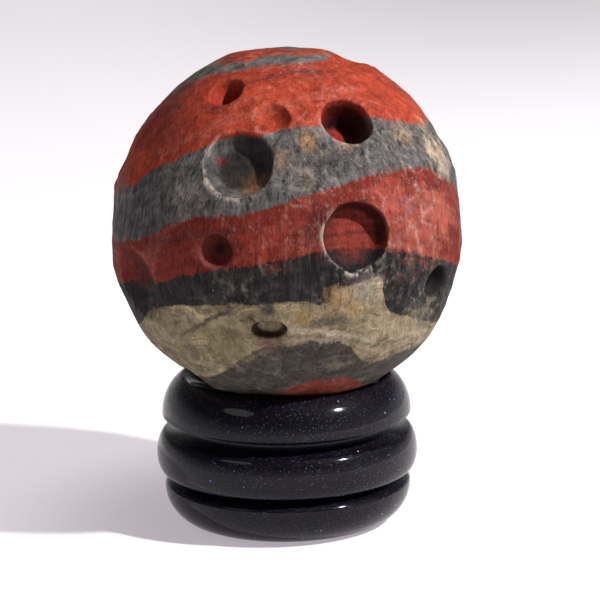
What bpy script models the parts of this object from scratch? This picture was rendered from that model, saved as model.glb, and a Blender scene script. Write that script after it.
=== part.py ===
"""Decorative sphere: a hand-carved ball of banded stone, resting in a turned glass ring of three beads.

Metres, +Z up, the front of the piece facing -Y. The origin is at the centre of the base of the whole piece.
"""

import math
import random

import bmesh
import bpy
from mathutils import Vector

MM = 0.001

# Ball: the sphere that the highest ridges reach, and how far the ball lies off the ring's axis
BALL_R = 25.46 * MM
BALL_LEAN = 0.5 * MM
BALL_SUBDIVISIONS = 5

# Carved facets: turn and height of the middle in degrees (turn from the front, + to the right),
# half-width in degrees and depth in millimetres
FACETS = {
    "right_upper": (92.7, 30.3, 20.0, 0.46),
    "right_level": (88.3, 9.6, 20.0, 0.83),
    "right_lower": (85.5, -6.2, 11.9, 0.91),
    "right_base": (82.5, -19.1, 12.1, 0.56),
    "crown_notch_back": (137.0, 58.1, 8.6, 1.02),
    "crown_notch_top": (114.8, 66.1, 8.6, 1.02),
    "crown_notch_front": (81.2, 68.8, 8.6, 1.02),
    "crown": (156.9, 80.8, 15.7, 0.39),
    "left_crown": (-102.3, 57.6, 11.1, 0.15),
    "left_shoulder": (-96.0, 41.5, 20.0, 0.62),
    "left_upper": (-91.6, 24.3, 13.8, 1.04),
    "left_level": (-87.4, 4.0, 17.9, 0.87),
    "left_lower": (-81.7, -20.5, 14.2, 0.35),
    "left_base": (-70.1, -50.8, 12.5, 0.75),
    "front_bright": (-6.1, 5.1, 9.0, 0.4),
    "front_ridge": (-33.8, 24.2, 8.0, 0.3),
    "front_left": (-50.0, 14.0, 13.0, 0.45),
    "front_tan": (-31.4, -24.5, 15.0, 0.55),
    "front_low_right": (43.9, -25.3, 14.0, 0.5),
    "front_right": (48.2, 7.0, 11.0, 0.35),
    "front_middle": (6.8, 30.0, 10.0, 0.35),
    "front_low": (11.3, -32.8, 14.0, 0.6),
    "front_high_left": (-52.4, 35.5, 12.0, 0.45),
    "front_high": (9.8, 60.0, 11.0, 0.35),
    "front_step": (26.6, -13.6, 8.0, 0.35),
}
HIDDEN_FACETS = 34
HIDDEN_FACET_WIDTH = (12.0, 17.0)
HIDDEN_FACET_DEPTH = (0.3, 0.75)
HIDDEN_BEYOND = -0.3
RIDGE_SOFTNESS = 0.04 * MM

# Drilled hollows: turn, height (degrees), rim radius, depth (millimetres), squareness and squash
HOLLOWS = {
    "deep_left": (-34.5, 56.6, 2.6, 2.6, 0.8, 1.0),
    "scoop_high": (-5.6, 46.3, 2.5, 0.5, 0.9, 1.0),
    "wide_left": (-17.3, 30.4, 5.0, 1.3, 0.6, 1.0),
    "deep_right": (28.0, 44.2, 3.8, 3.5, 0.7, 1.0),
    "wide_right": (22.1, 6.8, 4.85, 1.3, 0.6, 1.0),
    "bowl_left": (-22.4, 3.3, 2.45, 1.0, 0.8, 1.0),
    "side_left": (-58.2, -11.7, 5.2, 1.0, 0.8, 1.0),
    "slot_low": (-6.5, -22.5, 2.55, 1.1, 0.7, 0.65),
    "side_right": (56.5, -13.0, 2.55, 1.4, 0.8, 1.0),
    "back_wide": (172.0, 12.0, 4.7, 1.3, 0.6, 1.0),
    "back_deep": (-140.0, 38.0, 3.4, 2.8, 0.7, 1.0),
    "back_bowl": (128.0, -8.0, 3.0, 1.1, 0.8, 1.0),
    "back_low": (-152.0, -22.0, 3.8, 1.2, 0.6, 1.0),
    "back_high": (150.0, 52.0, 2.6, 1.0, 0.8, 1.0),
    "side_back": (-112.0, -2.0, 2.6, 1.2, 0.8, 1.0),
    "low_back": (160.0, -38.0, 2.5, 1.0, 0.8, 1.0),
}
HOLLOW_SIDES = 14
HOLLOW_STEPS = 3
HOLLOW_ABOVE = 2.0 * MM

# Ring stand: flat foot, three beads with a groove between each two, and an open bore
BORE_R = 10.4 * MM
BORE_EDGE = 0.35 * MM
FOOT_R = 12.4 * MM
LOW_BEAD_R = 17.65 * MM
LOW_BEAD_Z = 5.5 * MM
LOW_BEAD_SHOULDER = 1.5 * MM
MID_BEAD_R = 18.7 * MM
MID_BEAD_SIDE = 1.35 * MM
MID_BEAD_Z = 10.1 * MM
MID_BEAD_DOWN = 2.75 * MM
MID_BEAD_UP = 3.2 * MM
TOP_BEAD_R = 17.85 * MM
TOP_BEAD_Z = 15.8 * MM
TOP_BEAD_DOWN = 0.65 * MM
TOP_BEAD_UP = 5.95 * MM
TOP_BEAD_SIDE = 4.6 * MM
GROOVE_R = 14.9 * MM
GROOVE_GAP = 0.45 * MM
LIP_R = 15.05 * MM
RING_SIDES = 40

# Seat: the cone that the ball rests in, touched by the ball's sphere where the seat has this radius
SEAT_R = 12.9 * MM
SEAT_Z = 20.05 * MM
SEAT_GAP = 0.45 * MM

SCREW_MERGE = 0.01 * MM
SEED = 11


def towards(turn, height):
    """Unit direction from the ball's middle: turn from the front (+ to the right) and height, in degrees."""
    turn = math.radians(turn)
    height = math.radians(height)
    level = math.cos(height)
    return Vector((math.sin(turn) * level, -math.cos(turn) * level, math.sin(height)))


def hidden_facets():
    """Facets of the side turned away from the front, evenly spread and uneven in width and depth."""
    rng = random.Random(SEED)
    golden = math.pi * (3.0 - math.sqrt(5.0))
    found = []
    for i in range(2 * HIDDEN_FACETS):
        z = 1.0 - (2.0 * i + 1.0) / (2.0 * HIDDEN_FACETS)
        level = math.sqrt(1.0 - z * z)
        middle = Vector((level * math.cos(golden * i), level * math.sin(golden * i), z))
        width = math.radians(rng.uniform(*HIDDEN_FACET_WIDTH))
        depth = rng.uniform(*HIDDEN_FACET_DEPTH) * MM
        if middle.dot(towards(0.0, 0.0)) < HIDDEN_BEYOND:
            found.append((middle, width, depth))
    return found


def all_facets():
    found = [(towards(turn, height), math.radians(width), depth * MM)
             for turn, height, width, depth in FACETS.values()]
    return found + hidden_facets()


def reach(direction, facets):
    """Distance from the ball's middle to its carved surface, before the hollows are drilled."""
    total = 1.0
    for middle, width, depth in facets:
        angle = direction.angle(middle)
        cut = depth * (1.0 - (angle / width) ** 2)
        if cut > -depth:
            total += math.exp(cut / RIDGE_SOFTNESS)
    return BALL_R - RIDGE_SOFTNESS * math.log(total)


def arc(middle_r, middle_z, half_r, half_z, start, stop, steps):
    """Points of an elliptical arc, as (radius, height), its angles in degrees from the outer side upwards."""
    points = []
    for i in range(steps + 1):
        t = math.radians(start + (stop - start) * i / steps)
        points.append((middle_r + half_r * math.cos(t), middle_z + half_z * math.sin(t)))
    return points


def ring_profile(seat_slope):
    """Outline of the ring's section, down the outside and back up through the bore."""
    def seat_z(radius):
        return SEAT_Z + (radius - SEAT_R) * math.tan(seat_slope)

    top_middle = TOP_BEAD_R - TOP_BEAD_SIDE
    mid_middle = MID_BEAD_R - MID_BEAD_SIDE
    lip = math.degrees(math.acos((LIP_R - top_middle) / TOP_BEAD_SIDE))
    top_floor = math.degrees(math.acos((GROOVE_R - top_middle) / TOP_BEAD_SIDE))
    low_side = LOW_BEAD_R - FOOT_R
    shoulder = math.degrees(math.acos((GROOVE_R - FOOT_R) / low_side))
    low_top = LOW_BEAD_Z + LOW_BEAD_SHOULDER * math.sin(math.radians(shoulder))

    points = [(LIP_R - GROOVE_GAP, seat_z(LIP_R - GROOVE_GAP) + SEAT_GAP / 2)]
    points += arc(top_middle, TOP_BEAD_Z, TOP_BEAD_SIDE, TOP_BEAD_UP, lip, 0.0, 6)
    points += arc(top_middle, TOP_BEAD_Z, TOP_BEAD_SIDE, TOP_BEAD_DOWN, 0.0, -top_floor, 3)[1:]
    points.append((GROOVE_R, MID_BEAD_Z + MID_BEAD_UP + GROOVE_GAP))
    points += arc(mid_middle, MID_BEAD_Z, MID_BEAD_SIDE, MID_BEAD_UP, 80.0, 0.0, 4)
    points += arc(mid_middle, MID_BEAD_Z, MID_BEAD_SIDE, MID_BEAD_DOWN, 0.0, -90.0, 4)[1:]
    points.append((GROOVE_R, low_top + GROOVE_GAP))
    points += arc(FOOT_R, LOW_BEAD_Z, low_side, LOW_BEAD_SHOULDER, shoulder, 0.0, 3)
    points += arc(FOOT_R, LOW_BEAD_Z, low_side, LOW_BEAD_Z, 0.0, -90.0, 6)[1:]
    points.append((BORE_R + BORE_EDGE, 0.0))
    points.append((BORE_R, BORE_EDGE))
    points.append((BORE_R, seat_z(BORE_R)))
    return points


def hollow_profile(radius, depth, squareness):
    """Outline of one burr, down its outer side to its tip."""
    points = [(0.0, HOLLOW_ABOVE), (radius, HOLLOW_ABOVE)]
    for i in range(HOLLOW_STEPS + 1):
        t = math.radians(90.0 * i / HOLLOW_STEPS)
        points.append((radius * math.cos(t) ** squareness, -depth * math.sin(t) ** squareness))
    points[-1] = (0.0, -depth)
    return points


def turned(name, points, steps, closed, collection):
    """A body turned from an outline, given as (radius, height), about Z."""
    mesh = bpy.data.meshes.new(name)
    bm = bmesh.new()
    verts = [bm.verts.new((radius, 0.0, height)) for radius, height in points]
    for first, second in zip(verts, verts[1:]):
        bm.edges.new((first, second))
    if closed:
        bm.edges.new((verts[-1], verts[0]))
    bm.to_mesh(mesh)
    bm.free()
    obj = bpy.data.objects.new(name, mesh)
    collection.objects.link(obj)
    screw = obj.modifiers.new("turned", "SCREW")
    screw.axis = "Z"
    screw.angle = math.tau
    screw.steps = steps
    screw.render_steps = steps
    screw.use_merge_vertices = True
    screw.merge_threshold = SCREW_MERGE
    screw.use_smooth_shade = True
    return obj


def material(name, colour, roughness, coat):
    made = bpy.data.materials.new(name)
    made.use_nodes = True
    shader = made.node_tree.nodes["Principled BSDF"]
    shader.inputs["Base Color"].default_value = (*colour, 1.0)
    shader.inputs["Roughness"].default_value = roughness
    shader.inputs["Metallic"].default_value = 0.0
    shader.inputs["Coat Weight"].default_value = coat
    made.diffuse_color = (*colour, 1.0)
    return made


def collection(name):
    made = bpy.data.collections.new(name)
    bpy.context.scene.collection.children.link(made)
    return made


def carved_ball(middle, facets, parts, cutters):
    """The ball's carved body, with each hollow drilled by its own burr."""
    bm = bmesh.new()
    bmesh.ops.create_icosphere(bm, subdivisions=BALL_SUBDIVISIONS, radius=1.0)
    for vert in bm.verts:
        direction = vert.co.normalized()
        vert.co = middle + direction * reach(direction, facets)
    for face in bm.faces:
        face.smooth = True
    mesh = bpy.data.meshes.new("stone_ball")
    bm.to_mesh(mesh)
    bm.free()
    ball = bpy.data.objects.new("stone_ball", mesh)
    parts.objects.link(ball)
    for name, (turn, height, radius, depth, squareness, squash) in HOLLOWS.items():
        radius *= MM
        direction = towards(turn, height)
        rim = math.sqrt(reach(direction, facets) ** 2 - radius ** 2)
        burr = turned("burr_" + name, hollow_profile(radius, depth * MM, squareness), HOLLOW_SIDES, False, cutters)
        burr.rotation_euler = direction.to_track_quat("Z", "Y").to_euler()
        burr.scale = (1.0, squash, 1.0)
        burr.location = middle + direction * rim
        burr.display_type = "WIRE"
        burr.hide_render = True
        cut = ball.modifiers.new(name, "BOOLEAN")
        cut.operation = "DIFFERENCE"
        cut.solver = "EXACT"
        cut.object = burr
    return ball


def centre_on_base(ball, others):
    """Moves everything so that the ball's width and depth are centred on the origin."""
    for axis in (0, 1):
        values = [vert.co[axis] for vert in ball.data.vertices]
        shift = -(min(values) + max(values)) / 2.0
        for vert in ball.data.vertices:
            vert.co[axis] += shift
        for other in others:
            other.location[axis] += shift


def build():
    for obj in list(bpy.data.objects):
        bpy.data.objects.remove(obj, do_unlink=True)
    parts = collection("decorative_sphere")
    cutters = collection("cutters")
    cutters.hide_render = True

    seat_reach = BALL_R + SEAT_GAP
    seat_slope = math.asin(SEAT_R / seat_reach)
    raised = seat_reach * math.cos(seat_slope) + BALL_LEAN * math.tan(seat_slope)
    middle = Vector((BALL_LEAN, 0.0, SEAT_Z + raised))
    ball = carved_ball(middle, all_facets(), parts, cutters)
    ring = turned("ring_stand", ring_profile(seat_slope), RING_SIDES, True, parts)
    centre_on_base(ball, [ring] + list(cutters.objects))
    ball.data.materials.append(material("banded_stone", (0.17, 0.10, 0.08), 0.7, 0.0))
    ring.data.materials.append(material("glitter_glass", (0.012, 0.010, 0.018), 0.12, 1.0))


build()
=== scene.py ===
"""Looks of the decorative sphere: a carved ball of banded stone, resting in a ring of dark glitter glass.

Metres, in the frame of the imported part. The front of the piece faces -Y.
"""

import math
import random

import bmesh
import bpy
import numpy as np
from mathutils import Matrix, Vector, noise


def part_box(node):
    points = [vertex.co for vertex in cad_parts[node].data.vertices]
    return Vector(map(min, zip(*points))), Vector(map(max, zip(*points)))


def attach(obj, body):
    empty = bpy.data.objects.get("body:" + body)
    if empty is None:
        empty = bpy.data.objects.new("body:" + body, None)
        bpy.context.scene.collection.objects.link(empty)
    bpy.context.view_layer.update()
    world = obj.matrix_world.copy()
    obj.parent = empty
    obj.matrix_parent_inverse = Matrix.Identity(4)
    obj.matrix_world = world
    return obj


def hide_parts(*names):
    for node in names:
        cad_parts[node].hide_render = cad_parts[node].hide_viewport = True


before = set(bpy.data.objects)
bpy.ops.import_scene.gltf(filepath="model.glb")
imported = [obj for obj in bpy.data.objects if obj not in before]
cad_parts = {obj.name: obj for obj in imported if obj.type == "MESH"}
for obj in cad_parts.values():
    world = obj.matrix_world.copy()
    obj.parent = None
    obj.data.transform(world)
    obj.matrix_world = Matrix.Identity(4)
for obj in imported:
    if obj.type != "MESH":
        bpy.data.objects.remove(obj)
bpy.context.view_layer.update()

MM = 0.001

# Ball, as the solid has it: the sphere of its highest ridges and its facets
BALL_R = 25.46 * MM
BALL_LEAN = 0.5 * MM
FACETS = {
    "right_upper": (92.7, 30.3, 20.0, 0.46),
    "right_level": (88.3, 9.6, 20.0, 0.83),
    "right_lower": (85.5, -6.2, 11.9, 0.91),
    "right_base": (82.5, -19.1, 12.1, 0.56),
    "crown_notch_back": (137.0, 58.1, 8.6, 1.02),
    "crown_notch_top": (114.8, 66.1, 8.6, 1.02),
    "crown_notch_front": (81.2, 68.8, 8.6, 1.02),
    "crown": (156.9, 80.8, 15.7, 0.39),
    "left_crown": (-102.3, 57.6, 11.1, 0.15),
    "left_shoulder": (-96.0, 41.5, 20.0, 0.62),
    "left_upper": (-91.6, 24.3, 13.8, 1.04),
    "left_level": (-87.4, 4.0, 17.9, 0.87),
    "left_lower": (-81.7, -20.5, 14.2, 0.35),
    "left_base": (-70.1, -50.8, 12.5, 0.75),
    "front_bright": (-6.1, 5.1, 9.0, 0.4),
    "front_ridge": (-33.8, 24.2, 8.0, 0.3),
    "front_left": (-50.0, 14.0, 13.0, 0.45),
    "front_tan": (-31.4, -24.5, 15.0, 0.55),
    "front_low_right": (43.9, -25.3, 14.0, 0.5),
    "front_right": (48.2, 7.0, 11.0, 0.35),
    "front_middle": (6.8, 30.0, 10.0, 0.35),
    "front_low": (11.3, -32.8, 14.0, 0.6),
    "front_high_left": (-52.4, 35.5, 12.0, 0.45),
    "front_high": (9.8, 60.0, 11.0, 0.35),
    "front_step": (26.6, -13.6, 8.0, 0.35),
}
HIDDEN_FACETS = 34
HIDDEN_FACET_WIDTH = (12.0, 17.0)
HIDDEN_FACET_DEPTH = (0.3, 0.75)
HIDDEN_BEYOND = -0.3
RIDGE_SOFTNESS = 0.09 * MM
SEED = 11

# Finer flats and small scallops laid over the facets: how many, half-width (degrees), depth (millimetres)
# and softness
FLATS = (210, (12.5, 15.0), (0.56, 0.78), 0.02 * MM)
DENTS = (1000, (5.5, 7.5), (0.12, 0.24), 0.008 * MM)
# How unevenly they are spread
SPREAD_JITTER = 0.9
# Share of the flats' depth that is kept where it is smooth, and what roughness adds; the scallops' share, and
# the part of their mean depth that is given back
FLAT_SHARE = (0.5, 0.8)
DENT_SHARE = 1.25
DENT_LEVEL = 0.85
# How far noise bends their outlines, and that noise's scale
BEND = 0.02
BEND_SCALE = 6.0
# Difference in depth of two neighbouring cuts within which the ridge between them is worn
RIDGE_WIDTH = 0.012 * MM
# What is taken off all round, then a slow wobble and an upright ripple with their noise's scales
TRIM = 0.05 * MM
WOBBLE = 0.04 * MM
WOBBLE_SCALES = (9.0, 21.0)
RIPPLE = 0.16 * MM
RIPPLE_SCALE = 24.0
RIPPLE_STRETCH = 0.25

# Roughness elsewhere (its mean, its swing and that noise's scale), and where the surface is roughest: turn,
# height, radius (degrees), amount
ROUGH_MEAN = 0.25
ROUGH_SWING = 0.5
ROUGH_SCALE = 2.3
CRAGS = {
    "right_of_hollows": (40.0, 18.0, 22.0, 1.0),
    "grey_right": (8.0, 24.0, 12.0, 0.8),
    "under_wide_right": (22.0, -10.0, 14.0, 0.9),
    "low_right": (48.0, -22.0, 18.0, 0.7),
    "crown": (10.0, 62.0, 22.0, 0.7),
    "between_hollows": (5.0, 38.0, 14.0, 0.8),
    "left_edge": (-78.0, 10.0, 14.0, 0.5),
    "low_left": (-20.0, -42.0, 18.0, 0.5),
    "behind_right": (120.0, 20.0, 40.0, 0.8),
    "behind_left": (-140.0, -10.0, 45.0, 0.7),
    "behind_top": (170.0, 50.0, 30.0, 0.6),
}

# Drilled hollows: turn, height (degrees), rim radius, depth (millimetres), flat part of the floor, squash,
# painted shade on the floor and on the wall, which way round (degrees) the floor is deepest and by how much,
# and how pale the rim is: partly wear, partly a painted highlight on the side that faces the lamp
HOLLOWS = {
    "deep_left": (-34.5, 56.6, 2.6, 2.9, 0.2, 1.0, 0.85, 0.3, 0.0, 0.0, 0.0),
    "scoop_high": (-5.6, 46.3, 2.6, 0.85, 0.1, 1.0, 0.0, 0.45, 60.0, 0.9, 0.85),
    "wide_left": (-17.3, 30.4, 5.0, 1.8, 0.55, 1.0, 0.72, 0.75, 60.0, 0.3, 0.9),
    "deep_right": (28.0, 44.2, 3.8, 5.0, 0.5, 1.0, 0.3, 1.0, 0.0, 0.0, 0.4),
    "wide_right": (22.1, 6.8, 4.85, 2.35, 0.68, 1.0, 0.0, 0.9, 80.0, 0.35, 0.9),
    "bowl_left": (-22.4, 3.3, 2.45, 1.3, 0.2, 1.0, 0.85, 0.65, 0.0, 0.0, 0.15),
    "side_left": (-58.2, -11.7, 5.2, 1.35, 0.2, 1.0, 0.4, 0.3, 0.0, 0.0, 0.15),
    "slot_low": (-6.5, -22.5, 2.55, 1.2, 0.55, 0.62, 0.0, 1.0, 0.0, 0.0, 0.2),
    "side_right": (56.5, -13.0, 2.55, 1.7, 0.3, 1.0, 0.9, 0.9, 0.0, 0.0, 0.2),
    "back_wide": (172.0, 12.0, 4.7, 1.5, 0.6, 1.0, 0.4, 0.3, 30.0, 0.2, 0.8),
    "back_deep": (-140.0, 38.0, 3.4, 3.0, 0.3, 1.0, 0.9, 0.3, 0.0, 0.0, 0.3),
    "back_bowl": (128.0, -8.0, 3.0, 1.2, 0.3, 1.0, 0.5, 0.4, 0.0, 0.0, 0.3),
    "back_low": (-152.0, -22.0, 3.8, 1.4, 0.6, 1.0, 0.3, 0.3, 90.0, 0.2, 0.6),
    "back_high": (150.0, 52.0, 2.6, 1.1, 0.2, 1.0, 0.6, 0.4, 0.0, 0.0, 0.2),
    "side_back": (-112.0, -2.0, 2.6, 1.3, 0.3, 1.0, 0.5, 0.4, 0.0, 0.0, 0.3),
    "low_back": (160.0, -38.0, 2.5, 1.1, 0.3, 1.0, 0.5, 0.4, 0.0, 0.0, 0.2),
}
# The side of each rim that faces the lamp, where its pale line (partly wear, partly a painted highlight) is
# strongest, the wall opposite getting painted shadow; how wide the line is (radians) and how far in it
# reaches
LIT_SIDE = math.radians(225.0)
WORN_LIT_BAND = 0.016
WORN_LIT_INSIDE = 0.82
# The lines that the burr left in the floors: their depth and how closely they follow each other
BURR_LINES = 0.03 * MM
BURR_PITCH = 190.0
# Over what part of the radius the floor's painted shade fades, and how far down the wall's begins
FLOOR_EDGE = 0.14
WALL_TOP = 0.3
# How round the walls are, and how uneven the rims' outlines
WALL_CURVE = 0.9
RIM_WAVE = 0.018

# Small dimples: turn, height (degrees), half-width (degrees), depth (millimetres)
DIMPLES = {
    "pock": (-7.8, -11.1, 2.0, 0.6),
    "right_a": (35.3, 20.7, 4.6, 0.5),
    "right_b": (43.8, 17.6, 5.6, 0.65),
    "right_c": (43.5, 12.6, 3.8, 0.55),
    "right_d": (52.0, 22.0, 4.6, 0.4),
    "grey_a": (20.0, 27.5, 3.4, 0.35),
    "grey_b": (27.0, 29.5, 3.2, 0.3),
    "grey_c": (12.5, 26.0, 3.2, 0.3),
    "back_a": (-165.0, 30.0, 4.0, 0.35),
    "back_b": (118.0, 28.0, 4.5, 0.4),
    "back_c": (-100.0, 20.0, 4.0, 0.3),
}

# The ball's grid, and the band round each hollow where it is finer; the rims' rounding and how wide it is
GRID = 104
RIM_BAND = 1.22
RIM_BEVEL = 0.1 * MM
RIM_EASE = 0.14
RIM_SNAP = 0.55

# Ring stand, as the solid has it
BORE_R = 10.4 * MM
BORE_EDGE = 0.35 * MM
FOOT_R = 12.4 * MM
LOW_BEAD_R = 17.65 * MM
LOW_BEAD_Z = 5.5 * MM
LOW_BEAD_SHOULDER = 1.5 * MM
MID_BEAD_R = 18.7 * MM
MID_BEAD_SIDE = 1.35 * MM
MID_BEAD_Z = 10.1 * MM
MID_BEAD_DOWN = 2.75 * MM
MID_BEAD_UP = 3.2 * MM
TOP_BEAD_R = 17.85 * MM
TOP_BEAD_Z = 15.8 * MM
TOP_BEAD_DOWN = 0.65 * MM
TOP_BEAD_UP = 5.95 * MM
TOP_BEAD_SIDE = 4.6 * MM
GROOVE_R = 14.9 * MM
GROOVE_GAP = 0.45 * MM
LIP_R = 15.05 * MM
SEAT_R = 12.9 * MM
SEAT_Z = 20.05 * MM
SEAT_GAP = 0.45 * MM
RING_STEPS = 160
SPIN_MERGE = 0.002 * MM

RING_LOW, RING_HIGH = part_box("ring_stand")
RING_AXIS = ((RING_LOW[0] + RING_HIGH[0]) / 2.0, (RING_LOW[1] + RING_HIGH[1]) / 2.0)
SEAT_REACH = BALL_R + SEAT_GAP
SEAT_SLOPE = math.asin(SEAT_R / SEAT_REACH)
BALL_MIDDLE = (
    RING_AXIS[0] + BALL_LEAN,
    RING_AXIS[1],
    SEAT_Z + SEAT_REACH * math.cos(SEAT_SLOPE) + BALL_LEAN * math.tan(SEAT_SLOPE),
)

# Camera: where it stands, and what the photograph's frame asks of it
CAMERA_AWAY = 0.45
CAMERA_RISE = 11.6
CAMERA_ROLL = 1.07
CAMERA_TARGET = (*RING_AXIS, 42.86 * MM)
FRAME_SIDE = 600.0
FOCAL = 3174.0
TARGET_AT = (283.0, 224.8)
SENSOR = 36.0
CAMERA_NEAR = 0.01

# Light: the key lamp's direction, distance, size and power, and the room
KEY_TURN = 61.0
KEY_RISE = 41.5
KEY_AWAY = 0.72
KEY_SIZE = 0.018
KEY_STRENGTH = 5.2
KEY_COLOUR = (1.0, 0.985, 0.97)
# A weak, broad panel: turn, height, distance; size; power
PANEL_AT = (-56.0, 42.0, 0.8)
PANEL_SIZE = (0.4, 0.24)
PANEL_POWER = 0.4
ROOM = 0.12
ROOM_COLOUR = (0.99, 0.965, 1.0, 1.0)
ROOM_IN_GLASS = 0.05
# The room as the glass shows it: its brightness at the floor's edge, and the height at which that has faded
ROOM_GLOW = (0.7, 0.4)
# The floor's glow, painted light that lifts its cast shadow: round the piece, far behind it on the left and
# on the right, and right beside the ring, where it is darker as painted shade
FLOOR_GLOW = ((206, 200, 206), (193, 188, 194), (162, 156, 163), (168, 161, 168))
# Where it changes: from near to far, from left to right, and from the open floor to the ring's side
FLOOR_FAR = (0.25, 0.58)
FLOOR_SIDES = (-0.08, 0.08)
FLOOR_CLOSE = (0.048, 0.018)
FLOOR_GREY = (0.56, 0.56, 0.56, 1.0)
FLOOR_HALF = 4.0


def towards(turn, height):
    """Unit direction from the ball's middle: turn from the front (+ to the right) and height, in degrees."""
    turn, height = math.radians(turn), math.radians(height)
    level = math.cos(height)
    return np.array((math.sin(turn) * level, -math.cos(turn) * level, math.sin(height)))


def spiral(count):
    """Evenly spread unit directions, from the top down."""
    golden = math.pi * (3.0 - math.sqrt(5.0))
    for i in range(count):
        z = 1.0 - (2.0 * i + 1.0) / count
        level = math.sqrt(1.0 - z * z)
        yield np.array((level * math.cos(golden * i), level * math.sin(golden * i), z))


def placed(rows):
    """Rows of turn, height, half-width and depth, with unit directions, radians and metres."""
    return [(towards(turn, height), math.radians(width), depth * MM)
            for turn, height, width, depth in rows.values()]


def hidden_facets():
    """Facets of the side turned away from the front, as the solid has them."""
    rng = random.Random(SEED)
    found = []
    for middle in spiral(2 * HIDDEN_FACETS):
        width = math.radians(rng.uniform(*HIDDEN_FACET_WIDTH))
        depth = rng.uniform(*HIDDEN_FACET_DEPTH) * MM
        if middle @ towards(0.0, 0.0) < HIDDEN_BEYOND:
            found.append((middle, width, depth))
    return found


def spread(count, widths, depths, seed):
    """Small flats all over the ball, evenly spread with some unevenness in place, width and depth."""
    rng = random.Random(seed)
    jitter = SPREAD_JITTER / math.sqrt(count)
    found = []
    for middle in spiral(count):
        middle += np.array([rng.gauss(0.0, jitter) for _ in range(3)])
        width = math.radians(rng.uniform(*widths))
        found.append((middle / np.linalg.norm(middle), width, rng.uniform(*depths) * MM))
    return found


def away_from(directions, middle):
    return np.arccos(np.clip(directions @ middle, -1.0, 1.0))


def cuts(directions, facets, softness):
    """How deep all facets together cut, and how near each point lies to a ridge between two of them."""
    total = np.ones(len(directions))
    first = np.zeros(len(directions))
    second = np.zeros(len(directions))
    for middle, width, depth in facets:
        cut = depth * (1.0 - (away_from(directions, middle) / width) ** 2)
        total += np.where(cut > -depth, np.exp(np.clip(cut / softness, -50.0, 50.0)), 0.0)
        second = np.maximum(second, np.minimum(first, cut))
        first = np.maximum(first, cut)
    between = np.where(second > 0.0, np.exp(-(first - second) / RIDGE_WIDTH), 0.0)
    return softness * np.log(total), between


def turned_noise(directions, scale, stretch=1.0):
    places = ((x * scale, y * scale, z * scale * stretch) for x, y, z in directions)
    return np.array([noise.noise(Vector(place)) for place in places])


class Carving:
    """The ball's carved surface, before the hollows are drilled."""

    def __init__(self):
        self.facets = placed(FACETS) + hidden_facets()
        self.flats = spread(*FLATS[:3], SEED + 1)
        self.dents = spread(*DENTS[:3], SEED + 2)
        sample = np.array([facet[0] for facet in self.dents])
        self.flats_mean = cuts(sample, self.flats, FLATS[3])[0].mean()
        self.dents_mean = cuts(sample[::2], self.dents, DENTS[3])[0].mean() * DENT_LEVEL
        self.dimples = placed(DIMPLES)

    def plain_reach(self, directions):
        return BALL_R - cuts(directions, self.facets, RIDGE_SOFTNESS)[0]

    def roughness(self, directions):
        """How rough the carving is, from 0 to about 1."""
        found = ROUGH_MEAN + ROUGH_SWING * turned_noise(directions, ROUGH_SCALE)
        for turn, height, radius, amount in CRAGS.values():
            inside = away_from(directions, towards(turn, height)) / math.radians(radius)
            found = np.maximum(found, amount * np.clip(1.6 - 1.1 * inside, 0.0, 1.0))
        return found.clip(0.1, 1.0)

    def reach(self, directions):
        """How far out the surface lies, how worn it is and how rough."""
        rough = self.roughness(directions)
        main = cuts(directions, self.facets, RIDGE_SOFTNESS)[0]
        bends = [turned_noise(directions + k, BEND_SCALE) for k in (0.0, 3.0, 7.0)]
        bent = directions + BEND * np.stack(bends, axis=1)
        bent /= np.linalg.norm(bent, axis=1)[:, None]
        flats, flat_ridges = cuts(bent, self.flats, FLATS[3])
        dents, dent_ridges = cuts(bent, self.dents, DENTS[3])
        out = BALL_R - TRIM - main - (flats - self.flats_mean) * (FLAT_SHARE[0] + FLAT_SHARE[1] * rough)
        out -= (dents - self.dents_mean) * DENT_SHARE * rough
        for middle, width, depth in self.dimples:
            inside = np.clip(away_from(directions, middle) / width, 0.0, 1.0)
            out = out - depth * (1.0 - inside ** 2) ** 2
        slow, quick = (turned_noise(directions, scale) for scale in WOBBLE_SCALES)
        out += WOBBLE * (slow + 0.6 * quick)
        out += RIPPLE * rough * turned_noise(directions, RIPPLE_SCALE, RIPPLE_STRETCH)
        worn = np.maximum(0.45 * flat_ridges * (0.3 + 0.7 * rough), 0.55 * dent_ridges * rough)
        return out, worn, rough


def hollow_outline(flat, steps=240):
    """Along a hollow's section, from its middle (0) to its rim (1): radius and level, both from 0 to 1."""
    radius = np.linspace(0.0, 1.0, steps)
    slope = np.clip((1.0 - radius) / (1.0 - flat), 0.0, 1.0)
    level = np.sin(slope * math.pi / 2.0) ** WALL_CURVE
    along = np.concatenate(([0.0], np.cumsum(np.hypot(np.diff(radius), np.diff(level)))))
    return along / along[-1], radius, level


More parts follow.
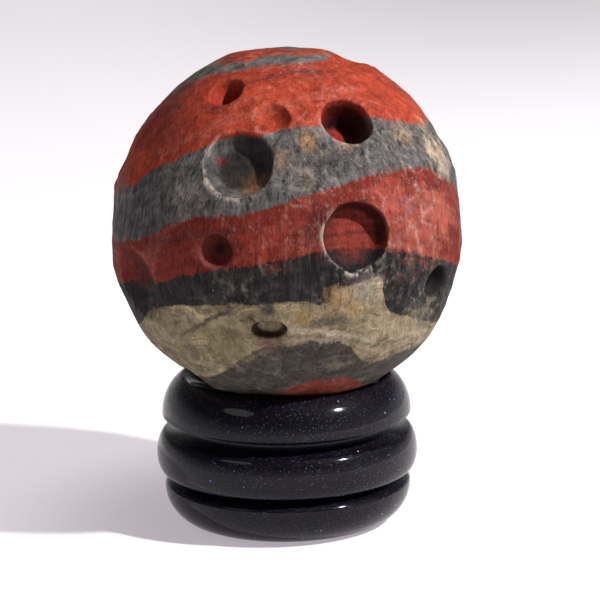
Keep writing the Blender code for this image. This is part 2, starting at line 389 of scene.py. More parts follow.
class Hollow:
    """One drilled hollow: its axis, its rim on the carved surface and its section."""

    def __init__(self, carving, seed, row):
        turn, height, radius, depth, self.flat, self.squash = row[:6]
        floor_shade, wall_shade, lean, self.by, self.worn = row[6:]
        self.axis = towards(turn, height)
        tracked = Vector(self.axis).to_track_quat("Z", "Y")
        self.side = np.array(tracked @ Vector((1.0, 0.0, 0.0)))
        self.up = np.array(tracked @ Vector((0.0, 1.0, 0.0)))
        here = carving.plain_reach(self.axis[None])[0]
        self.half = math.asin(radius * MM / here)
        self.plane = math.sqrt(here ** 2 - (radius * MM) ** 2)
        self.depth = depth * MM
        self.outline = hollow_outline(self.flat)
        self.painted_shades = (floor_shade, wall_shade)
        self.lean = math.radians(lean)
        self.carving = carving
        rng = random.Random(seed)
        self.waves = [(k, RIM_WAVE / k ** 0.5, rng.uniform(0.0, math.tau)) for k in (2, 3, 5, 7)]

    def place(self, directions):
        """Distance out from the axis as a part of the rim's, the angle round it, and the rim's own angle."""
        x, y = directions @ self.side, directions @ self.up
        around = np.arctan2(y, x)
        rim = self.half / np.sqrt(np.cos(around) ** 2 + (np.sin(around) / self.squash) ** 2)
        rim = rim * (1.0 + sum(size * np.sin(k * around + phase) for k, size, phase in self.waves))
        return away_from(directions, self.axis) / rim, around, rim

    def across(self, around):
        return np.cos(around)[:, None] * self.side + np.sin(around)[:, None] * self.up

    def direction(self, around, away):
        return np.cos(away)[:, None] * self.axis + np.sin(away)[:, None] * self.across(around)

    def drill(self, part, around, rim):
        """Points inside the rim, how deep each lies (0 to 1) and how much painted shade it gets."""
        edge = self.carving.reach(self.direction(around, rim))[0] - RIM_BEVEL
        along, radius, level = self.outline
        reach, down = np.interp(part, along, radius), np.interp(part, along, level)
        wide = reach * edge * np.sin(rim)
        lift = (edge * np.cos(rim) - self.plane) * (1.0 - down) ** 2
        tilt = 1.0 + self.by * np.cos(around - self.lean) * reach
        lines = np.sin(reach * self.half * BURR_PITCH) * BURR_LINES * down ** 4
        out = self.plane + lift - down * self.depth * tilt + lines
        floor = np.clip((self.flat + FLOOR_EDGE - reach) / FLOOR_EDGE, 0.0, 1.0)
        wall = np.clip(down / WALL_TOP, 0.0, 1.0) * (1.0 - floor)
        # Painted shade on floor and wall; on round hollows the wall's painted shadow lies on the side away
        # from the lamp
        if self.squash == 1.0:
            wall *= np.clip(0.4 - 0.75 * np.cos(around - LIT_SIDE), 0.0, 1.0)
        points = out[:, None] * self.axis + wide[:, None] * self.across(around)
        return points, down, floor * self.painted_shades[0] + wall * self.painted_shades[1]


def ball_grid(hollows):
    """A closed grid on the unit sphere, finer in and round each hollow."""
    bm = bmesh.new()
    bmesh.ops.create_cube(bm, size=2.0)
    bmesh.ops.subdivide_edges(bm, edges=bm.edges[:], cuts=GRID - 1, use_grid_fill=True)
    for vert in bm.verts:
        vert.co = Vector([math.tan(value * math.pi / 4.0) for value in vert.co]).normalized()
    bm.verts.ensure_lookup_table()
    directions = np.array([vert.co for vert in bm.verts])
    close = np.zeros(len(directions), bool)
    for hollow in hollows:
        close |= hollow.place(directions)[0] < RIM_BAND
    edges = [edge for edge in bm.edges if any(close[vert.index] for vert in edge.verts)]
    bmesh.ops.subdivide_edges(bm, edges=edges, cuts=1, use_grid_fill=True)
    for vert in bm.verts:
        vert.co.normalize()
    return bm


def snapped(directions, hollows):
    """Moves the points that lie within half a cell of a rim onto it, so that the rim is one clean line."""
    cell = math.pi / 2.0 / GRID / 2.0
    for hollow in hollows:
        part, around, rim = hollow.place(directions)
        close = np.abs(part - 1.0) * rim < RIM_SNAP * cell
        directions[close] = hollow.direction(around[close], rim[close])
    return directions


def linked(name, data):
    """A new object with this data, in the scene."""
    made = bpy.data.objects.new(name, data)
    bpy.context.scene.collection.objects.link(made)
    return made


def built(name, bm):
    """A new object at the origin with this mesh."""
    mesh = bpy.data.meshes.new(name)
    bm.to_mesh(mesh)
    bm.free()
    return linked(name, mesh)


def make_ball():
    carving = Carving()
    hollows = [Hollow(carving, SEED + i, row) for i, row in enumerate(HOLLOWS.values())]
    bm = ball_grid(hollows)
    directions = snapped(np.array([vert.co for vert in bm.verts]), hollows)
    reach, worn, rough = carving.reach(directions)
    inside = np.zeros(len(directions), bool)
    drilled = np.zeros((len(directions), 3))
    down = np.zeros(len(directions))
    # Painted shade in the hollows, per point
    dark = np.zeros(len(directions))
    for hollow in hollows:
        part, around, rim = hollow.place(directions)
        reach -= RIM_BEVEL * np.clip(1.0 - (part - 1.0) / RIM_EASE, 0.0, 1.0) ** 2
        within = part <= 1.0 + 1e-6
        # The rim's pale line: partly wear, partly a painted highlight on the side that faces the lamp, also
        # over the lit wall
        side = hollow.worn * (0.15 + 0.85 * np.clip(np.cos(around - LIT_SIDE) + 0.3, 0.0, 1.0))
        worn[within] = 1.8 * np.clip(side[within] - 0.5, 0.0, 0.5) * (part[within] > WORN_LIT_INSIDE)
        worn = np.maximum(worn, side * np.exp(-((part - 1.0) * rim / WORN_LIT_BAND) ** 2))
        found = hollow.drill(part[within].clip(0.0, 1.0), around[within], rim[within])
        drilled[within], down[within], dark[within] = found
        inside |= within
    points = np.where(inside[:, None], drilled, directions * reach[:, None])
    points += np.array(BALL_MIDDLE)
    for vert, point in zip(bm.verts, points):
        vert.co = point
    for face in bm.faces:
        face.smooth = True
    ball = built("carved_ball", bm)
    # Pale ridges and rims (wear, and a painted highlight on the rims' lit side) and the hollows' painted
    # shade
    for name, values in (("worn", worn), ("dark", dark), ("down", down), ("rough", rough)):
        layer = ball.data.attributes.new(name, "FLOAT", "POINT")
        layer.data.foreach_set("value", values.astype(np.float32))
    return ball


def arc(middle_r, middle_z, half_r, half_z, start, stop, steps):
    """Points of an elliptical arc, as (radius, height), its angles in degrees from the outer side upwards."""
    found = []
    for i in range(steps + 1):
        t = math.radians(start + (stop - start) * i / steps)
        found.append((middle_r + half_r * math.cos(t), middle_z + half_z * math.sin(t)))
    return found


def ring_outline():
    """Outline of the ring's section, down the outside and back up through the bore."""
    def seat_z(radius):
        return SEAT_Z + (radius - SEAT_R) * math.tan(SEAT_SLOPE)

    top_middle = TOP_BEAD_R - TOP_BEAD_SIDE
    mid_middle = MID_BEAD_R - MID_BEAD_SIDE
    lip = math.degrees(math.acos((LIP_R - top_middle) / TOP_BEAD_SIDE))
    top_floor = math.degrees(math.acos((GROOVE_R - top_middle) / TOP_BEAD_SIDE))
    low_side = LOW_BEAD_R - FOOT_R
    shoulder = math.degrees(math.acos((GROOVE_R - FOOT_R) / low_side))
    low_top = LOW_BEAD_Z + LOW_BEAD_SHOULDER * math.sin(math.radians(shoulder))

    points = [(LIP_R - GROOVE_GAP, seat_z(LIP_R - GROOVE_GAP) + SEAT_GAP / 2)]
    points += arc(top_middle, TOP_BEAD_Z, TOP_BEAD_SIDE, TOP_BEAD_UP, lip, 0.0, 22)
    points += arc(top_middle, TOP_BEAD_Z, TOP_BEAD_SIDE, TOP_BEAD_DOWN, 0.0, -top_floor, 10)[1:]
    points.append((GROOVE_R, MID_BEAD_Z + MID_BEAD_UP + GROOVE_GAP))
    points += arc(mid_middle, MID_BEAD_Z, MID_BEAD_SIDE, MID_BEAD_UP, 80.0, 0.0, 14)
    points += arc(mid_middle, MID_BEAD_Z, MID_BEAD_SIDE, MID_BEAD_DOWN, 0.0, -90.0, 14)[1:]
    points.append((GROOVE_R, low_top + GROOVE_GAP))
    points += arc(FOOT_R, LOW_BEAD_Z, low_side, LOW_BEAD_SHOULDER, shoulder, 0.0, 10)
    points += arc(FOOT_R, LOW_BEAD_Z, low_side, LOW_BEAD_Z, 0.0, -90.0, 22)[1:]
    points.append((BORE_R + BORE_EDGE, 0.0))
    points.append((BORE_R, BORE_EDGE))
    points.append((BORE_R, seat_z(BORE_R)))
    return points


def make_ring():
    bm = bmesh.new()
    verts = [bm.verts.new((RING_AXIS[0] + radius, RING_AXIS[1], height)) for radius, height in ring_outline()]
    edges = [bm.edges.new(pair) for pair in zip(verts, verts[1:] + verts[:1])]
    bmesh.ops.spin(bm, geom=verts + edges, cent=(*RING_AXIS, 0.0), axis=(0.0, 0.0, 1.0), angle=math.tau,
                   steps=RING_STEPS, use_merge=True)
    bmesh.ops.remove_doubles(bm, verts=bm.verts[:], dist=SPIN_MERGE)
    bmesh.ops.recalc_face_normals(bm, faces=bm.faces[:])
    for face in bm.faces:
        face.smooth = True
    return built("glass_ring", bm)


def srgb(*colour):
    """A colour given as seen, 0 to 255, as the shader's linear values."""
    def linear(value):
        value /= 255.0
        return value / 12.92 if value <= 0.04045 else ((value + 0.055) / 1.055) ** 2.4
    return (*(linear(value) for value in colour), 1.0)


class Signal:
    """One value of a material, so that masks are written as sums and products."""

    def __init__(self, finish, socket):
        self.finish, self.socket = finish, socket

    def __add__(self, other):
        return self.finish.maths("ADD", self, other)

    __radd__ = __add__

    def __sub__(self, other):
        return self.finish.maths("SUBTRACT", self, other)

    def __rsub__(self, other):
        return self.finish.maths("SUBTRACT", other, self)

    def __mul__(self, other):
        return self.finish.maths("MULTIPLY", self, other)

    __rmul__ = __mul__

    def __truediv__(self, other):
        return self.finish.maths("DIVIDE", self, other)

    def held(self):
        """Kept between 0 and 1."""
        return self.finish.maths("MULTIPLY", self, 1.0, clamp=True)

    def soft(self):
        """Kept between 0 and 1, with both ends eased."""
        return self.finish.ramp(self, 0.0, 1.0, "SMOOTHSTEP")


class Finish:
    """The nodes of a material or of the room."""

    def __init__(self, owner, shader="Principled BSDF"):
        owner.use_nodes = True
        self.owner = owner
        self.nodes = owner.node_tree.nodes
        self.links = owner.node_tree.links
        self.shader = self.nodes[shader]

    def node(self, kind, settings=None, sockets=None):
        """A node of this type, with its settings, then its sockets' values or links."""
        made = self.nodes.new(kind)
        for name, value in (settings or {}).items():
            if name == "curve":
                points = made.mapping.curves[0].points
                while len(points) < len(value):
                    points.new(0.5, 0.5)
                for point, place in zip(points, sorted(value)):
                    point.location = place
                made.mapping.update()
            else:
                setattr(made, name, value)
        for name, value in (sockets or {}).items():
            self.feed(made.inputs[name], value)
        return made

    def feed(self, socket, value):
        if isinstance(value, Signal):
            self.links.new(value.socket, socket)
        elif value is not None:
            socket.default_value = value

    def shade(self, sockets):
        """Constants and what varies, on the shader's own sockets."""
        for name, value in sockets.items():
            self.feed(self.shader.inputs[name], value)

    def signal(self, kind, settings=None, sockets=None, out=0):
        return Signal(self, self.node(kind, settings, sockets).outputs[out])

    def maths(self, operation, *values, clamp=False):
        settings = {"operation": operation, "use_clamp": clamp}
        return self.signal("ShaderNodeMath", settings, dict(enumerate(values)))

    def vector(self, operation, *values, out=0):
        return self.signal("ShaderNodeVectorMath", {"operation": operation}, dict(enumerate(values)), out)

    def mix(self, factor, first, second, blend="MIX"):
        """Two colours mixed: 0 gives the first and 1 the second."""
        settings = {"data_type": "RGBA", "blend_type": blend}
        return self.signal("ShaderNodeMix", settings, {0: factor, 6: first, 7: second}, 2)

    def noise(self, place, scale, detail=3.0, roughness=0.55, out=0):
        sockets = {"Vector": place, "Scale": scale, "Detail": detail, "Roughness": roughness}
        return self.signal("ShaderNodeTexNoise", {}, sockets, out)

    def drawn(self, place, across, up, detail=3.0, roughness=0.6):
        """Noise drawn out upwards, by its scales across and up."""
        return self.noise(self.vector("MULTIPLY", place, (across, across, up)), 1.0, detail, roughness)

    def ramp(self, value, start, stop, kind="LINEAR"):
        """0 at the start, 1 at the stop."""
        sockets = {"Value": value, "From Min": start, "From Max": stop}
        return self.signal("ShaderNodeMapRange", {"interpolation_type": kind}, sockets)

    def joined(self, x, y, z):
        return self.signal("ShaderNodeCombineXYZ", {}, {0: x, 1: y, 2: z})

    def split(self, place):
        parts = self.node("ShaderNodeSeparateXYZ", {}, {0: place})
        return [Signal(self, socket) for socket in parts.outputs]

    def attribute(self, name):
        return self.signal("ShaderNodeAttribute", {"attribute_name": name}, out=2)

    def height(self, across, points):
        """A layer's height over the ball, read at this place across it; both run from -1 to 1."""
        curve = [((x + 1.0) / 2.0, (z + 1.0) / 2.0) for x, z in points]
        found = self.signal("ShaderNodeFloatCurve", {"curve": curve}, {"Value": across * 0.5 + 0.5})
        return found * 2.0 - 1.0


# Lower edges of the layers, from the crown down, as (across, height) in ball radii
LAYER_EDGES = {
    "red_cap": [(-1.0, 0.72), (-0.39, 0.91), (-0.12, 0.97), (0.09, 0.98), (0.29, 0.95), (0.6, 0.86),
                (1.0, 0.7)],
    "high_grey": [(-1.0, 0.5), (-0.66, 0.74), (-0.46, 0.86), (-0.24, 0.92), (0.01, 0.95), (0.2, 0.95),
                  (0.34, 0.94), (0.6, 0.85), (1.0, 0.7)],
    "high_red": [(-0.94, 0.24), (-0.73, 0.41), (-0.51, 0.52), (-0.35, 0.6), (-0.09, 0.65), (0.08, 0.68),
                 (0.29, 0.67), (0.49, 0.68), (0.71, 0.62), (0.8, 0.57), (1.0, 0.45)],
    "broad_grey": [(-0.96, -0.03), (-0.74, 0.09), (-0.57, 0.19), (-0.33, 0.23), (-0.14, 0.27), (0.07, 0.34),
                   (0.29, 0.39), (0.5, 0.42), (0.73, 0.41), (0.84, 0.36), (0.93, 0.24)],
    "broad_red": [(-1.0, -0.28), (-0.73, -0.17), (-0.52, -0.07), (-0.2, -0.02), (0.07, 0.03), (0.31, 0.04),
                  (0.6, 0.01), (0.86, -0.12), (0.96, -0.24)],
    "black": [(-1.0, -0.75), (-0.85, -0.55), (-0.77, -0.38), (-0.69, -0.3), (-0.45, -0.25), (-0.16, -0.22),
              (0.06, -0.22), (0.2, -0.23), (0.28, -0.16), (0.38, -0.13), (0.49, -0.13), (0.52, -0.31),
              (0.66, -0.4), (0.84, -0.52), (1.0, -0.62)],
    "tan": [(-1.0, -0.8), (-0.41, -0.71), (-0.29, -0.6), (-0.14, -0.5), (0.06, -0.48), (0.17, -0.44),
            (0.3, -0.48), (0.41, -0.62), (0.61, -0.61), (0.73, -0.63), (1.0, -0.7)],
    "low_dark": [(-1.0, -1.0), (-0.25, -0.97), (-0.04, -0.81), (0.06, -0.75), (0.17, -0.72), (0.33, -0.73),
                 (0.42, -0.82), (0.55, -0.95), (1.0, -1.0)],
}
# The layers' colours: the layer above the first edge, then the one under each; two tones and a rarer third
LAYER_TONES = [
    ((136, 50, 34), (160, 64, 44), (104, 38, 29)),
    ((82, 80, 80), (112, 104, 98), (66, 66, 64)),
    ((136, 48, 32), (160, 62, 43), (108, 42, 34)),
    ((58, 56, 56), (90, 87, 86), (104, 90, 76)),
    ((86, 28, 21), (116, 40, 30), (128, 62, 52)),
    ((23, 21, 21), (38, 35, 36), (52, 48, 46)),
    ((110, 97, 76), (139, 124, 99), (80, 72, 55)),
    ((50, 45, 42), (74, 68, 62), (98, 90, 78)),
    ((96, 42, 34), (118, 60, 48), (70, 36, 30)),
]
LAYER_SOFTNESS = [0.014, 0.02, 0.018, 0.022, 0.014, 0.016, 0.02, 0.02]

# Thin lines that run along the layers: across and height in ball radii, half-width, colour, strength
STREAKS = {
    "dark_left": ([(-0.58, -0.47), (-0.48, -0.38), (-0.39, -0.32), (-0.26, -0.24)], 0.016, (44, 40, 36), 0.9),
    "dark_middle": ([(0.06, -0.37), (0.17, -0.34), (0.37, -0.36)], 0.02, (58, 52, 46), 0.7),
    "pale_low": ([(-0.18, -0.46), (0.01, -0.4), (0.22, -0.41), (0.49, -0.51)], 0.014, (158, 148, 128), 0.6),
    "pale_lower": ([(-0.18, -0.5), (0.01, -0.45), (0.22, -0.46), (0.49, -0.56)], 0.012, (146, 134, 112), 0.6),
    "dark_low": ([(-0.14, -0.56), (0.04, -0.52), (0.24, -0.53), (0.42, -0.6)], 0.016, (52, 46, 42), 0.6),
    "dark_in_red": ([(-0.8, 0.02), (-0.6, 0.1), (-0.4, 0.15), (-0.2, 0.17)], 0.018, (70, 32, 30), 0.6),
    "pale_in_red": ([(-0.7, 0.5), (-0.5, 0.6), (-0.3, 0.7), (0.0, 0.78), (0.3, 0.82)], 0.02,
                    (160, 84, 68), 0.4),
    "grey_in_red": ([(0.55, 0.3), (0.68, 0.25), (0.8, 0.2), (0.9, 0.14)], 0.014, (104, 84, 86), 0.5),
    "dark_cap": ([(-0.25, 0.86), (-0.05, 0.9), (0.12, 0.92), (0.25, 0.9)], 0.008, (84, 40, 44), 0.6),
    "dark_in_grey": ([(-0.7, 0.3), (-0.5, 0.33), (-0.3, 0.38), (0.1, 0.5), (0.5, 0.56), (0.8, 0.46)], 0.018,
                     (70, 62, 62), 0.5),
}

# Soft spots of another colour: turn, height, radius in degrees, colour, strength
SPOTS = {
    "ochre_high": (8.5, 37.6, 3.8, (146, 108, 78), 0.85),
    "ochre_right": (23.5, 36.7, 4.0, (136, 106, 80), 0.5),
    "yellow_right": (52.0, 36.5, 5.0, (138, 112, 84), 0.55),
    "yellow_limb": (71.3, 27.0, 11.0, (162, 144, 124), 0.8),
    "tan_by_hollow": (-2.0, 32.2, 4.6, (108, 88, 68), 0.6),
    "dark_red_left": (-60.2, 38.4, 12.0, (98, 42, 38), 0.55),
    "pale_ridge": (-35.0, 19.0, 7.0, (116, 106, 102), 0.55),
    # Painted light: the left limb made paler, as light thrown back from the bright floor and backdrop would
    "bounce_lit_limb_left": (-73.0, 16.0, 9.0, (100, 95, 93), 0.5),
    "brown_left": (-64.0, 50.0, 8.0, (92, 58, 52), 0.5),
    "olive_low": (-23.2, -29.2, 11.0, (112, 104, 74), 0.8),
    "ochre_low": (15.8, -12.0, 5.5, (138, 106, 70), 0.7),
    "ochre_low_right": (21.8, -16.0, 4.0, (140, 112, 74), 0.6),
    "yellow_low": (4.7, -17.9, 3.6, (138, 110, 62), 0.7),
    "green_dark": (-20.5, -25.7, 3.0, (52, 56, 42), 0.7),
    "dark_low_left": (-39.2, -33.4, 4.0, (66, 62, 52), 0.6),
    "pale_low_right": (52.5, -29.3, 10.0, (126, 115, 98), 0.6),
    "grey_step": (24.9, -10.0, 6.0, (112, 104, 98), 0.6),
    "drip": (-6.4, -14.9, 3.6, (40, 37, 38), 0.9),
    "orange_facet": (-5.0, 5.3, 7.5, (118, 42, 30), 0.8),
    "dark_by_facet": (-16.0, 4.0, 4.0, (76, 26, 21), 0.6),
    "dark_red_middle": (11.0, 10.5, 10.0, (70, 24, 19), 0.85),
    "light_red_right": (36.0, 18.0, 9.0, (150, 66, 52), 0.7),
    "light_red_limb": (58.0, 8.0, 10.0, (158, 80, 62), 0.7),
    "pink_right": (46.0, 8.0, 15.0, (136, 70, 58), 0.75),
    "grey_dent": (43.8, 12.7, 2.4, (96, 84, 88), 0.45),
    "green_crown": (-81.0, 63.9, 8.0, (110, 108, 92), 0.5),
    "brown_low": (-6.6, -27.9, 5.0, (74, 52, 38), 0.7),
    "back_ochre": (160.0, 24.0, 9.0, (150, 122, 98), 0.6),
    "back_pink": (-135.0, 4.0, 13.0, (168, 104, 88), 0.6),
    "back_olive": (-160.0, -28.0, 10.0, (112, 104, 76), 0.7),
    "back_tan": (120.0, 30.0, 8.0, (136, 110, 86), 0.6),
}
# The same, inside the hollows only
INNER_SPOTS = {
    "tan_patch": (-11.0, 24.5, 6.0, (138, 100, 74), 0.8),
    "red_patch": (-25.4, 32.2, 2.4, (116, 44, 36), 0.8),
    "deep_red": (27.0, 44.8, 9.5, (150, 34, 20), 0.95),
    "deep_red_left": (-36.0, 56.0, 7.0, (146, 40, 27), 0.9),
    "red_floor": (22.4, 5.9, 8.2, (118, 44, 33), 0.95),
    "dark_red_side": (-60.0, -6.5, 10.0, (84, 29, 23), 0.9),
    "red_bowl": (-22.4, 3.3, 7.0, (60, 20, 17), 0.8),
    "olive_floor": (-6.5, -22.5, 5.0, (112, 104, 78), 0.9),
}

# Fine wavy lines in two of the layers: the layer's two edges, the dark lines' strength and colour,
# and the pale lines' level, strength and colour
LAYER_LINES = [
    ("black", "tan", 0.85, (66, 58, 42), 0.55, 0.75, (166, 152, 116)),
    ("red_cap", "high_grey", 0.7, (44, 48, 48), 0.58, 0.6, (150, 146, 138)),
]
# How far slow and quick noise move the layers, and where (from front to back) they start to stray at the back
SLOW_WARP = (0.05, 0.05, 0.07)
QUICK_WARP = (0.03, 0.03, 0.05)
BEHIND = (0.3, 0.8)
# Colours of bruises, dots and worn stone (also a painted highlight on the rims' lit side), and what stripes
# and the hollows' painted shade multiply the colour by
BRUISE = (158, 148, 140)
DOT = (26, 20, 19)
WORN_AND_LIT_STONE = (172, 157, 148)
STRIPED = (0.4, 0.36, 0.36, 1.0)
HOLLOW_SHADE = (0.12, 0.09, 0.09, 1.0)
# Glass: its two deep colours; fine and bright flakes' scale, rarity and size; tints; the bright ones'
# colours, near white as painted glints
GLASS_DEEP = ((4, 2, 8), (12, 8, 19))
FINE_FLAKES = (7600.0, 0.86, 0.2)
BRIGHT_FLAKES = (1500.0, 0.966, 0.12)
FLAKE_TINTS = ((96, 100, 160), (120, 116, 150), (110, 84, 130))
FLAKE_GLINTS = ((110, 128, 255), (225, 228, 255))


def stone_finish():
    """Banded stone: layers read over the ball, with streaks, specks, grain and worn ridges; rims pale partly
    from wear and partly from a painted highlight, and hollows darkened by painted shade.
    """
    f = Finish(bpy.data.materials.new("banded_stone"))
    place = f.signal("ShaderNodeTexCoord", out="Object")
    centred = f.vector("SUBTRACT", place, BALL_MIDDLE)
    p = f.vector("MULTIPLY", centred, (1.0 / BALL_R,) * 3)
    slow = f.noise(p, 2.2, 2.0, out="Color")
    quick = f.noise(p, 9.0, 4.0, 0.6, out="Color")
    crown = f.split(p)[2]
    flatness = f.maths("SQRT", (1.0 - crown * crown).held())
    moved = f.vector("ADD", f.vector("MULTIPLY", f.vector("SUBTRACT", slow, (0.5,) * 3), SLOW_WARP),
                     f.vector("MULTIPLY", f.vector("SUBTRACT", quick, (0.5,) * 3), QUICK_WARP))
    warped = f.vector("ADD", p, f.vector("MULTIPLY", moved, f.joined(flatness, flatness, flatness)))
    x, y, z = f.split(warped)
    behind = f.ramp(y, *BEHIND, "SMOOTHSTEP")
    z = z + behind * (f.noise(p, 1.3, 1.0) - 0.5) * 0.55
    hairs = f.drawn(p, 60.0, 9.0)
    mottle = f.noise(warped, 5.0, 5.0, 0.6)
    fine_mottle = f.noise(warped, 17.0, 4.0, 0.65)
    z_rough = z + ((hairs - 0.5) * 0.03 + (fine_mottle - 0.5) * 0.05) * flatness
    along = f.joined(x * 1.4, y * 1.4, (z - f.height(x, LAYER_EDGES["broad_red"])) * 24.0)
    strata = f.noise(along, 1.0, 4.0, 0.6)
    tone = ((mottle - 0.5) * 1.4 + (fine_mottle - 0.5) * 1.3 + (strata - 0.5) * 1.2 + 0.5).held()
    third = ((f.noise(warped, 3.6, 4.0, 0.65) + (strata - 0.5) * 0.5 - 0.54) * 7.0).soft()

    def toned(tones):
        return f.mix(third * 0.75, f.mix(tone, srgb(*tones[0]), srgb(*tones[1])), srgb(*tones[2]))

    colour = toned(LAYER_TONES[0])
    under = {}
    for (name, points), softness, tones in zip(LAYER_EDGES.items(), LAYER_SOFTNESS, LAYER_TONES[1:]):
        under[name] = ((f.height(x, points) - z_rough) / softness + 0.5).soft()
        colour = f.mix(under[name], colour, toned(tones))

    swirl = z + (f.noise(p, 4.0, 2.0) - 0.5) * 0.3
    lines = f.noise(f.joined(x * 3.4, y * 3.4, swirl * 24.0), 1.0, 5.0, 0.65)
    for top, bottom, dark_share, dark_line, pale_level, pale_share, pale_line in LAYER_LINES:
        layer = under[top] * (1.0 - under[bottom])
        colour = f.mix(((0.46 - lines) * 9.0).held() * layer * dark_share, colour, srgb(*dark_line))
        colour = f.mix(((lines - pale_level) * 9.0).held() * layer * pale_share, colour, srgb(*pale_line))

    in_front = 1.0 - behind
    for points, half, line, strength in STREAKS.values():
        off = f.maths("ABSOLUTE", z_rough - f.height(x, points))
        ends = f.ramp(x, points[0][0] - 0.05, points[0][0] + 0.1)
        ends = ends * f.ramp(x, points[-1][0] + 0.05, points[-1][0] - 0.1)
        near = (1.5 - off / half + (fine_mottle - 0.5) * 3.0).held() * ends * in_front
        colour = f.mix(near * strength, colour, srgb(*line))

    outward = f.vector("NORMALIZE", p)
    down = f.attribute("down")
    inside = (down * 10.0).held()
    ragged = (f.noise(p, 13.0, 5.0, 0.7) - 0.5) * 2.2 + (strata - 0.5) * 1.2
    little_ragged = ragged * 0.3
    for spots, where, edge in ((SPOTS, 1.0, ragged), (INNER_SPOTS, inside, little_ragged)):
        for turn, height, radius, spot, strength in spots.values():
            away = f.vector("DISTANCE", outward, tuple(towards(turn, height)), out="Value")
            near = 1.2 - away / (2.0 * math.sin(math.radians(radius) / 2.0)) + edge * min(radius / 9.0, 1.0)
            near = near.soft() * where
            colour = f.mix(near * strength, colour, srgb(*spot))
    stripes = f.noise(f.joined(x * 1.5, y * 1.5, z * 30.0), 1.0, 3.0, 0.6)
    stripes = ((stripes - 0.52) * 8.0).held() * ((down - 0.8) * 8.0).held() * under["broad_grey"]
    colour = f.mix(stripes * 0.6, colour, f.mix(1.0, colour, STRIPED, "MULTIPLY"))

    grain = f.drawn(p, 120.0, 20.0)
    speckle = f.noise(p, 90.0, 3.0, 0.6)
    streaky = f.drawn(warped, 26.0, 5.0, 4.0, 0.65)
    dull = under["high_red"] * (1.0 - under["broad_grey"]) + under["broad_red"] * (1.0 - under["black"])
    dull = dull * (1.0 - inside * 0.7)
    shade = (grain - 0.5) * 1.1 + (speckle - 0.5) * 1.0 + (fine_mottle - 0.5) * 0.9
    shade = 1.0 + shade + ((hairs - 0.5) * 1.0 + (streaky - 0.5) * 1.3) * (0.8 + dull * 1.3)
    colour = f.mix(1.0, colour, grey(f, shade), "MULTIPLY")
    patches = f.noise(p, 3.1, 2.0, 0.5)
    dashes = f.drawn(p, 95.0, 34.0)
    rough = f.attribute("rough")
    bruise = ((dashes - 0.62) * 8.0).held() * ((patches + rough * 0.3 - 0.5) * 4.0).held() * (1.0 - inside)
    colour = f.mix(bruise * 0.6, colour, srgb(*BRUISE))
    dots = ((0.38 - f.noise(p, 64.0, 3.0, 0.6)) * 10.0).held()
    colour = f.mix(dots * 0.3, colour, srgb(*DOT))

    # Pale ridges from wear; on the hollows' rims partly wear and partly a painted highlight on their lit side
    worn = f.attribute("worn") * ((patches + fine_mottle - 0.75) * 3.0).held()
    worn = worn * (0.25 + (streaky - 0.46) * 6.0).held()
    dark = f.attribute("dark")
    colour = f.mix((worn * (0.6 + hairs * 0.9)).held(), colour, srgb(*WORN_AND_LIT_STONE))
    # Painted shade: the hollows' floors, and their walls away from the lamp, are darkened
    shaded_colour = f.mix(1.0, colour, HOLLOW_SHADE, "MULTIPLY")
    colour = f.mix((dark * (0.8 + fine_mottle * 0.4)).held(), colour, shaded_colour)
    scoops = f.signal("ShaderNodeTexVoronoi", {}, {"Vector": warped, "Scale": 15.0})
    scoops = f.maths("POWER", scoops, 2.0) * rough * 3.0
    relief = grain * 0.45 + speckle * 0.6 + hairs * 0.8 + streaky * 1.6 + fine_mottle * 1.4 + scoops
    bump = {"Strength": 0.8, "Distance": 0.1 * MM, "Height": relief}
    f.shade({
        "Base Color": colour,
        "Roughness": (0.7 + (mottle - 0.5) * 0.3 + (grain - 0.5) * 0.3 + dark * 0.15).held(),
        "Specular IOR Level": 0.1,
        "Normal": f.signal("ShaderNodeBump", {}, bump),
    })
    return f.owner


def grey(f, value):
    return f.signal("ShaderNodeCombineColor", {}, {0: value, 1: value, 2: value})


def glass_finish():
    """Dark glitter glass: small bright flakes under a smooth, clear surface, the brightest near white as
    painted glints.
    """
    f = Finish(bpy.data.materials.new("glitter_glass"))
    place = f.signal("ShaderNodeTexCoord", out="Object")
    cloud = f.noise(place, 260.0, 3.0)

    def flakes(scale, least, half):
        """How much of a flake is here, a chance value for its hue and the cells' own colours."""
        cells = f.node("ShaderNodeTexVoronoi", {"feature": "F1"}, {"Vector": place, "Scale": scale})
        own, away = Signal(f, cells.outputs["Color"]), Signal(f, cells.outputs["Distance"])
        lot = f.node("ShaderNodeSeparateColor", {}, {0: own})
        chance, hue, size = (Signal(f, socket) for socket in lot.outputs)
        shown = ((chance + (cloud - 0.5) * 0.3 - least) * 30.0).held()
        return shown * ((size * half + half - away) * 12.0).held(), hue, own

    fine, hue, own = flakes(*FINE_FLAKES)
    bright, bright_hue, _ = flakes(*BRIGHT_FLAKES)
    tint = f.mix((hue * 2.0).held(), srgb(*FLAKE_TINTS[0]), srgb(*FLAKE_TINTS[1]))
    tint = f.mix((hue * 4.0 - 3.0).held(), tint, srgb(*FLAKE_TINTS[2]))
    deep = f.mix(cloud, srgb(*GLASS_DEEP[0]), srgb(*GLASS_DEEP[1]))
    colour = f.mix(fine * 0.8, deep, tint)
    # Painted glints: the rare bright flakes are near white in the colour itself, wherever the lamp is
    colour = f.mix(bright, colour, f.mix(bright_hue, srgb(*FLAKE_GLINTS[0]), srgb(*FLAKE_GLINTS[1])))
    tilt = f.vector("MULTIPLY", f.vector("SUBTRACT", own, (0.5,) * 3), (0.5,) * 3)
    facing = f.signal("ShaderNodeNewGeometry", out="Normal")
    f.shade({
        "Base Color": colour,
        "Roughness": 0.5 - fine * 0.2,
        "Normal": f.vector("NORMALIZE", f.vector("ADD", facing, tilt)),
        "IOR": 1.5,
        "Specular IOR Level": 0.05,
        "Coat Weight": 0.75,
        "Coat Roughness": 0.09,
        "Coat IOR": 1.32,
    })
    return f.owner


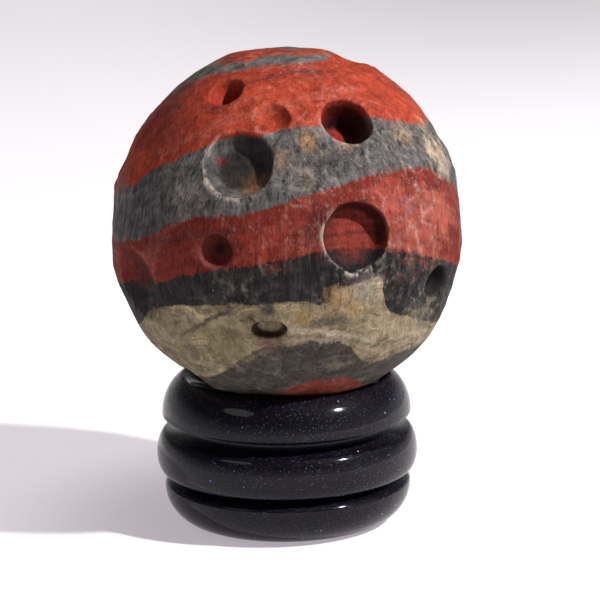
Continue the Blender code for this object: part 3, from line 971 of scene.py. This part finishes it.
def floor_finish():
    """Plain pale floor that glows a little as painted light: greyer far behind the piece, and darker
    right beside the ring as painted shade.
    """
    f = Finish(bpy.data.materials.new("pale_floor"))
    place = f.signal("ShaderNodeTexCoord", out="Object")
    x, y, _ = f.split(place)
    far = f.ramp(y, *FLOOR_FAR, "SMOOTHSTEP")
    side = f.ramp(x, *FLOOR_SIDES, "SMOOTHSTEP")
    away = f.vector("DISTANCE", place, (*RING_AXIS, 0.0), out="Value")
    close = f.ramp(away, *FLOOR_CLOSE, "SMOOTHSTEP")
    glow = f.mix(far, srgb(*FLOOR_GLOW[0]), f.mix(side, srgb(*FLOOR_GLOW[1]), srgb(*FLOOR_GLOW[2])))
    f.shade({
        "Emission Color": f.mix(close, glow, srgb(*FLOOR_GLOW[3])),
        "Emission Strength": 1.0,
        "Base Color": FLOOR_GREY,
        "Roughness": 0.9,
        "Specular IOR Level": 0.0,
    })
    return f.owner


def make_floor():
    bm = bmesh.new()
    bmesh.ops.create_grid(bm, x_segments=1, y_segments=1, size=FLOOR_HALF)
    floor = built("floor", bm)
    floor.data.materials.append(floor_finish())


def make_camera():
    rise, roll = math.radians(CAMERA_RISE), math.radians(CAMERA_ROLL)
    ahead = Vector((0.0, math.cos(rise), -math.sin(rise)))
    level = Vector((1.0, 0.0, 0.0))
    upright = Vector((0.0, math.sin(rise), math.cos(rise)))
    right = level * math.cos(roll) - upright * math.sin(roll)
    up = upright * math.cos(roll) + level * math.sin(roll)
    away = (FRAME_SIDE / 2.0 - TARGET_AT[0], TARGET_AT[1] - FRAME_SIDE / 2.0)
    look = (ahead + right * (away[0] / FOCAL) + up * (away[1] / FOCAL)).normalized()
    side = look.cross(up).normalized()
    top = side.cross(look)
    data = bpy.data.cameras.new("camera")
    data.sensor_width = SENSOR
    data.lens = FOCAL / FRAME_SIDE * SENSOR
    data.clip_start = CAMERA_NEAR
    camera = linked("camera", data)
    turned = Matrix((side, top, -look)).transposed().to_4x4()
    turned.translation = Vector(CAMERA_TARGET) - ahead * CAMERA_AWAY
    camera.matrix_world = turned
    bpy.context.scene.camera = camera


def make_light():
    key = bpy.data.lights.new("key", "POINT")
    key.energy = KEY_STRENGTH * 4.0 * math.pi * KEY_AWAY ** 2
    key.shadow_soft_size = KEY_SIZE
    key.color = KEY_COLOUR
    linked("key", key).location = Vector(BALL_MIDDLE) + Vector(towards(KEY_TURN, KEY_RISE)) * KEY_AWAY
    panel = bpy.data.lights.new("panel", "AREA")
    panel.shape = "ELLIPSE"
    panel.size, panel.size_y = PANEL_SIZE
    panel.energy = PANEL_POWER
    board = linked("panel", panel)
    aside = Vector(towards(*PANEL_AT[:2]))
    board.location = Vector(BALL_MIDDLE) + aside * PANEL_AT[2]
    board.rotation_euler = aside.to_track_quat("Z", "Y").to_euler()


def make_room():
    """Dim and even, but for what the glass shows of it, which is brighter near the floor."""
    room = Finish(bpy.data.worlds.new("room"), "Background")
    bpy.context.scene.world = room.owner
    height = room.split(room.signal("ShaderNodeTexCoord", out="Generated"))[2]
    fading = {"Value": height, "From Max": ROOM_GLOW[1], "To Min": ROOM_GLOW[0], "To Max": ROOM_IN_GLASS}
    low = room.signal("ShaderNodeMapRange", {"interpolation_type": "SMOOTHSTEP"}, fading)
    glossy = room.signal("ShaderNodeLightPath", out="Is Glossy Ray")
    strength = room.signal("ShaderNodeMix", {}, {0: glossy, 2: ROOM, 3: low})
    room.shade({"Color": ROOM_COLOUR, "Strength": strength})
    bpy.context.scene.view_settings.view_transform = "Standard"


make_floor()
make_camera()
make_light()
make_room()

ball = make_ball()
ball.data.materials.append(stone_finish())
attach(ball, "root")
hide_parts("stone_ball")

ring = make_ring()
ring.data.materials.append(glass_finish())
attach(ring, "root")
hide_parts("ring_stand")
